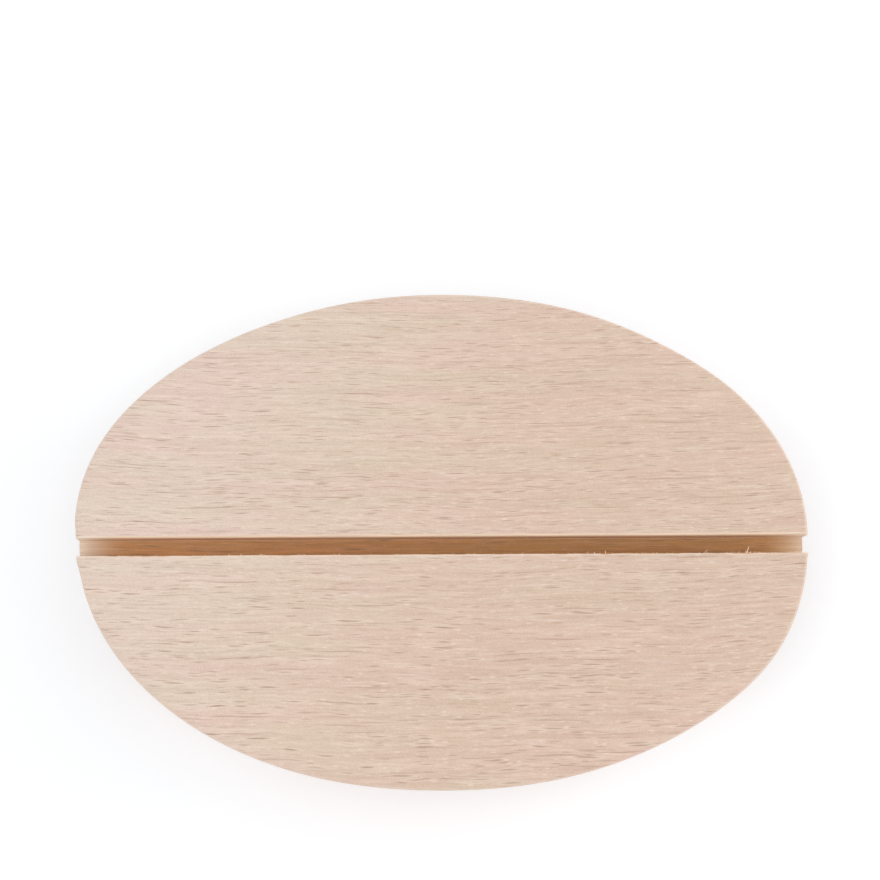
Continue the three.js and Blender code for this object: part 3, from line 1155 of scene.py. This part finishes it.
# The whiskers that one can see singly: place along the mouth, lean along it, length and thickness.
MOUTH_WHISKERS = [
    (-28.4, 0.5, 0.4, 0.13), (-25.4, -0.6, 0.4, 0.13), (-14.6, 0.4, 0.35, 0.12), (20.3, 0.5, 0.4, 0.13),
    (21.4, -0.5, 0.36, 0.13), (22.9, 0.0, 0.5, 0.13), (36.8, 0.9, 0.75, 0.14), (41.6, 0.8, 0.45, 0.12),
]
WHISKER_RISE = 0.4
WHISKER_BEND = Vector((0.1, 0, 0.1))
# The forked one: its place, and the lean, bend and length of its two arms.
FORKED_PLACE = 42.9
FORKED_ARMS = [(0.05, 0.25, 1.1), (-0.75, -0.1, 0.45)]
FORKED_DROP = -0.1
FORKED_THICKNESS = 0.15
# The fuzz between them: how many, and ranges for the lean, rise, bend, length and thickness.
MOUTH_FUZZ = 90
FUZZ_SPAN = 0.97
FUZZ_LEAN = (-1.5, 1.5)
FUZZ_RISE = (-0.1, 0.5)
FUZZ_BEND = (-0.4, 0.4)
FUZZ_LENGTH = (0.14, 0.3)
FUZZ_THICKNESS = (0.08, 0.13)


def mouth_root(place):
    """Point on the torn edge of the mouth, a root's depth inside the wood."""
    return Vector((place, SLOT_SIDE[-1] - ROOT_DEPTH, BLOCK_THICKNESS - SLOT_ARRIS[-1] / 2))


for place, lean, length, thickness in MOUTH_WHISKERS:
    add_fibre(mouth_root(place), Vector((lean, 1, WHISKER_RISE)), WHISKER_BEND, length, thickness)
for lean, bend, length in FORKED_ARMS:
    way = Vector((lean, 1, FORKED_DROP))
    add_fibre(mouth_root(FORKED_PLACE), way, Vector((bend, 0, 0)), length, FORKED_THICKNESS)
for _ in range(MOUTH_FUZZ):
    place = HALF_LENGTH * (1 - 2 * fibre_luck.random() ** CROWDING) * FUZZ_SPAN
    way = Vector((fibre_luck.uniform(*FUZZ_LEAN), 1, fibre_luck.uniform(*FUZZ_RISE)))
    bend = Vector((fibre_luck.uniform(*FUZZ_BEND), 0, 0))
    length = fibre_luck.uniform(*FUZZ_LENGTH)
    add_fibre(mouth_root(place), way, bend, length, fibre_luck.uniform(*FUZZ_THICKNESS))

print(f"{len(fibre_faces)} faces on the fibres of the mouth")

# %% [markdown]
# ## Fibres on the end
# The blade came out of the wood at the +X end and broke fibres off there. Most of them stand in
# a tuft of three chips, one above the other, on the torn arris. Shorter ones fringe both upright
# arrises and the front edge of the floor.

# %% Build the torn fibres
END_BEND = Vector((-0.1, 0, 0))
TUFT_CHIPS = 46
CHIP_HEIGHTS = (18.6, 17.2, 15.2)
CHIP_SPREAD = 0.55
CHIP_BREADTH = 0.75
CHIP_OUT = 0.45
CHIP_SIDEWAYS = (-0.7, 0.7)
CHIP_LENGTH = (0.25, 0.55)
CHIP_THICKNESS = (0.12, 0.2)
END_FUZZ = 34
END_FUZZ_BELOW_TOP = 1.0
END_FUZZ_OFF_SLOT = 0.05
END_FUZZ_INTO_SLOT = (0.0, 0.5)
END_FUZZ_THICKNESS = (0.07, 0.11)
FLOOR_CHIPS = 30
FLOOR_CHIP_DROP = (0.02, 0.3)
FLOOR_CHIP_SIDEWAYS = (-0.8, 0.8)
FLOOR_CHIP_RISE = (-0.5, 1.0)
FRINGE_OUT = 0.4
FRINGE_LENGTH = (0.15, 0.35)
UP_OR_DOWN = (-1, 1)


def end_root(y, z):
    """Point on the leaning wall at the +X end, a root's depth inside the wood."""
    foot, head = plain_rows[BASE_RIM_STEPS], plain_rows[TOP_ROW - TOP_RIM_STEPS]
    out = foot.lerp(head, (z - foot.y) / (head.y - foot.y)).x
    return Vector((oval(angle_at(y, out), out).x - ROOT_DEPTH, y, z))


for _ in range(TUFT_CHIPS):
    height = fibre_luck.choice(CHIP_HEIGHTS) + fibre_luck.uniform(-CHIP_SPREAD, CHIP_SPREAD)
    off_slot = fibre_luck.uniform(0, CHIP_BREADTH) * math.sqrt(fibre_luck.random())
    way = Vector((CHIP_OUT, fibre_luck.uniform(*CHIP_SIDEWAYS), fibre_luck.uniform(*UP_OR_DOWN)))
    length = fibre_luck.uniform(*CHIP_LENGTH)
    root = end_root(SLOT_SIDE[-1] - off_slot, height)
    add_fibre(root, way, END_BEND, length, fibre_luck.uniform(*CHIP_THICKNESS))
for _ in range(END_FUZZ):
    side = fibre_luck.choice((-1, +1))
    height = fibre_luck.uniform(SLOT_FLOOR, BLOCK_THICKNESS - END_FUZZ_BELOW_TOP)
    sideways = -side * fibre_luck.uniform(*END_FUZZ_INTO_SLOT)
    way = Vector((FRINGE_OUT, sideways, fibre_luck.uniform(*UP_OR_DOWN)))
    length = fibre_luck.uniform(*FRINGE_LENGTH)
    root = end_root(SLOT_SIDE[side] + side * END_FUZZ_OFF_SLOT, height)
    add_fibre(root, way, END_BEND, length, fibre_luck.uniform(*END_FUZZ_THICKNESS))
for _ in range(FLOOR_CHIPS):
    across_slot = fibre_luck.uniform(SLOT_SIDE[-1], SLOT_SIDE[+1])
    sideways = fibre_luck.uniform(*FLOOR_CHIP_SIDEWAYS)
    way = Vector((FRINGE_OUT, sideways, fibre_luck.uniform(*FLOOR_CHIP_RISE)))
    root = end_root(across_slot, SLOT_FLOOR - fibre_luck.uniform(*FLOOR_CHIP_DROP))
    length = fibre_luck.uniform(*FRINGE_LENGTH)
    add_fibre(root, way, END_BEND, length, fibre_luck.uniform(*FUZZ_THICKNESS))

fibre_mesh = bpy.data.meshes.new("torn_fibres")
fibre_mesh.from_pydata([point * MM for point in fibre_points], [], fibre_faces)
fibre_mesh.shade_smooth()
fibres = bpy.data.objects.new("torn_fibres", fibre_mesh)
bpy.context.scene.collection.objects.link(fibres)
print(f"{len(fibre_faces)} faces on all the torn fibres")

# %% [markdown]
# ## Torn beech
# A torn fibre is a bundle of a few long cells, clean and dry, with light passing through it. It is
# paler than the planed wood and has no gloss at all. Its colour changes a little from fibre to fibre.

# %% Finish of the torn fibres
TORN_TONES = ("#f9e4cc", "#edcfa9")
TORN_ROUGHNESS = 0.9


def torn_beech():
    """Broken fibre ends: pale, dry and dull."""
    material = new_material("torn_beech")
    tree = material.node_tree
    tone = uneven_wood(tree, spot_on_block(tree), FRAY_SIZE, 0, 1)
    pale, golden = [linear(hex_colour) for hex_colour in TORN_TONES]
    colour = wire(tree, "Mix", {0: tone, 6: pale, 7: golden}, **MIX_COLOURS)
    shader = wire(tree, "BsdfPrincipled", {
        "Base Color": colour, "Roughness": TORN_ROUGHNESS, "IOR": BEECH_IOR,
    })
    wire(tree, "OutputMaterial", {"Surface": shader})
    return material


fibres.data.materials.append(torn_beech())
print("finish of the fibres:", fibres.data.materials[0].name)

# %% [markdown]
# ## Light
# Soft light from all round comes from the world. A large lamp above and to the left makes the left half of
# the top slightly paler than the right, and a lower one beside the +X end keeps the end grain from going
# dull. Together they light the top at such a level that a colour renders about as it is written.
# What the camera sees of the world itself is plain white.

# %% Light the studio
WORLD_LEVEL = 0.75
# Place and side in millimetres, and power in watts, of each lamp.
LAMPS = {
    "upper_lamp": (Vector((-160, -110, 700)), 450, 0.88),
    "side_lamp": (Vector((640, 150, 240)), 450, 1.2),
}


def seen_directly(tree):
    """1 for light that goes to the camera straight, by a mirror or through glass, and 0 for the rest."""
    paths = wire(tree, "LightPath").node.outputs
    seen = wire(tree, "Math", {0: paths["Is Camera Ray"], 1: paths["Is Glossy Ray"]}, operation="MAXIMUM")
    return wire(tree, "Math", {0: seen, 1: paths["Is Transmission Ray"]}, operation="MAXIMUM")


studio = bpy.data.worlds.new("studio")
bpy.context.scene.world = studio
studio.use_nodes = True
sky = studio.node_tree
sky.nodes.clear()
level = wire(sky, "MapRange", ramp(seen_directly(sky), 0, 1, WORLD_LEVEL, 1))
glow = wire(sky, "Background", {"Color": linear(WHITE), "Strength": level})
wire(sky, "OutputWorld", {"Surface": glow})

for name, (spot, side, power) in LAMPS.items():
    light = bpy.data.lights.new(name, "AREA")
    light.size = side * MM
    light.energy = power
    lamp = bpy.data.objects.new(name, light)
    lamp.location = spot * MM
    lamp.rotation_euler = (-spot).to_track_quat("-Z", "Y").to_euler()
    bpy.context.scene.collection.objects.link(lamp)

bpy.context.scene.view_settings.view_transform = "Standard"
print(len(LAMPS), "lamps, world level", WORLD_LEVEL)

# %% [markdown]
# ## Floor
# The block lies on a wide sheet of matt white card. White card holds a brightener, which gives back a little
# light of its own, slightly blue. That light does two jobs here. Some of it lights the wall of the block
# from below, as a white table does. And the camera sees it, less of it close to the block and more
# of it further off, so that the card looks white and the block still has a soft shadow at its foot.

# %% Lay the floor
FLOOR_SIDE = 6000
CARD_WHITE = "#f2f2f2"
CARD_BLUE = "#dff0ff"
CARD_GLOW = 0.22
SEEN_GLOW = (0.28, 0.5)
SEEN_GLOW_REACH = (60.0, 500.0)


def white_card():
    """Matt white card that glows a little by itself."""
    material = new_material("matt_white_floor")
    tree = material.node_tree
    matt = wire(tree, "BsdfDiffuse", {"Color": linear(CARD_WHITE)})
    from_block = wire(tree, "VectorMath", {0: spot_on_block(tree)}, "Value", operation="LENGTH")
    seen_glow = wire(tree, "MapRange", ramp(from_block, *SEEN_GLOW_REACH, *SEEN_GLOW))
    seen = seen_directly(tree)
    strength = wire(tree, "Mix", {0: seen, 2: CARD_GLOW, 3: seen_glow})
    hue = wire(tree, "Mix", {0: seen, 6: linear(WHITE), 7: linear(CARD_BLUE)}, **MIX_COLOURS)
    glow = wire(tree, "Emission", {"Color": hue, "Strength": strength})
    wire(tree, "OutputMaterial", {"Surface": wire(tree, "AddShader", {0: matt, 1: glow})})
    return material


half = FLOOR_SIDE / 2 * MM
floor_corners = [(-half, -half, 0), (half, -half, 0), (half, half, 0), (-half, half, 0)]
floor_mesh = bpy.data.meshes.new("studio_floor")
floor_mesh.from_pydata(floor_corners, [], [(0, 1, 2, 3)])
floor_mesh.materials.append(white_card())
floor = bpy.data.objects.new("studio_floor", floor_mesh)
bpy.context.scene.collection.objects.link(floor)
print(f"floor of {FLOOR_SIDE} mm a side, finish {floor_mesh.materials[0].name}")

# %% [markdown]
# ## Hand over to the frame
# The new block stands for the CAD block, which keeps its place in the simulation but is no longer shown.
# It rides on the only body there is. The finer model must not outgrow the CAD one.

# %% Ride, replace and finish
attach(block, "root")
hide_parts("slotted_block")
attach(fibres, "root")

bpy.context.view_layer.update()
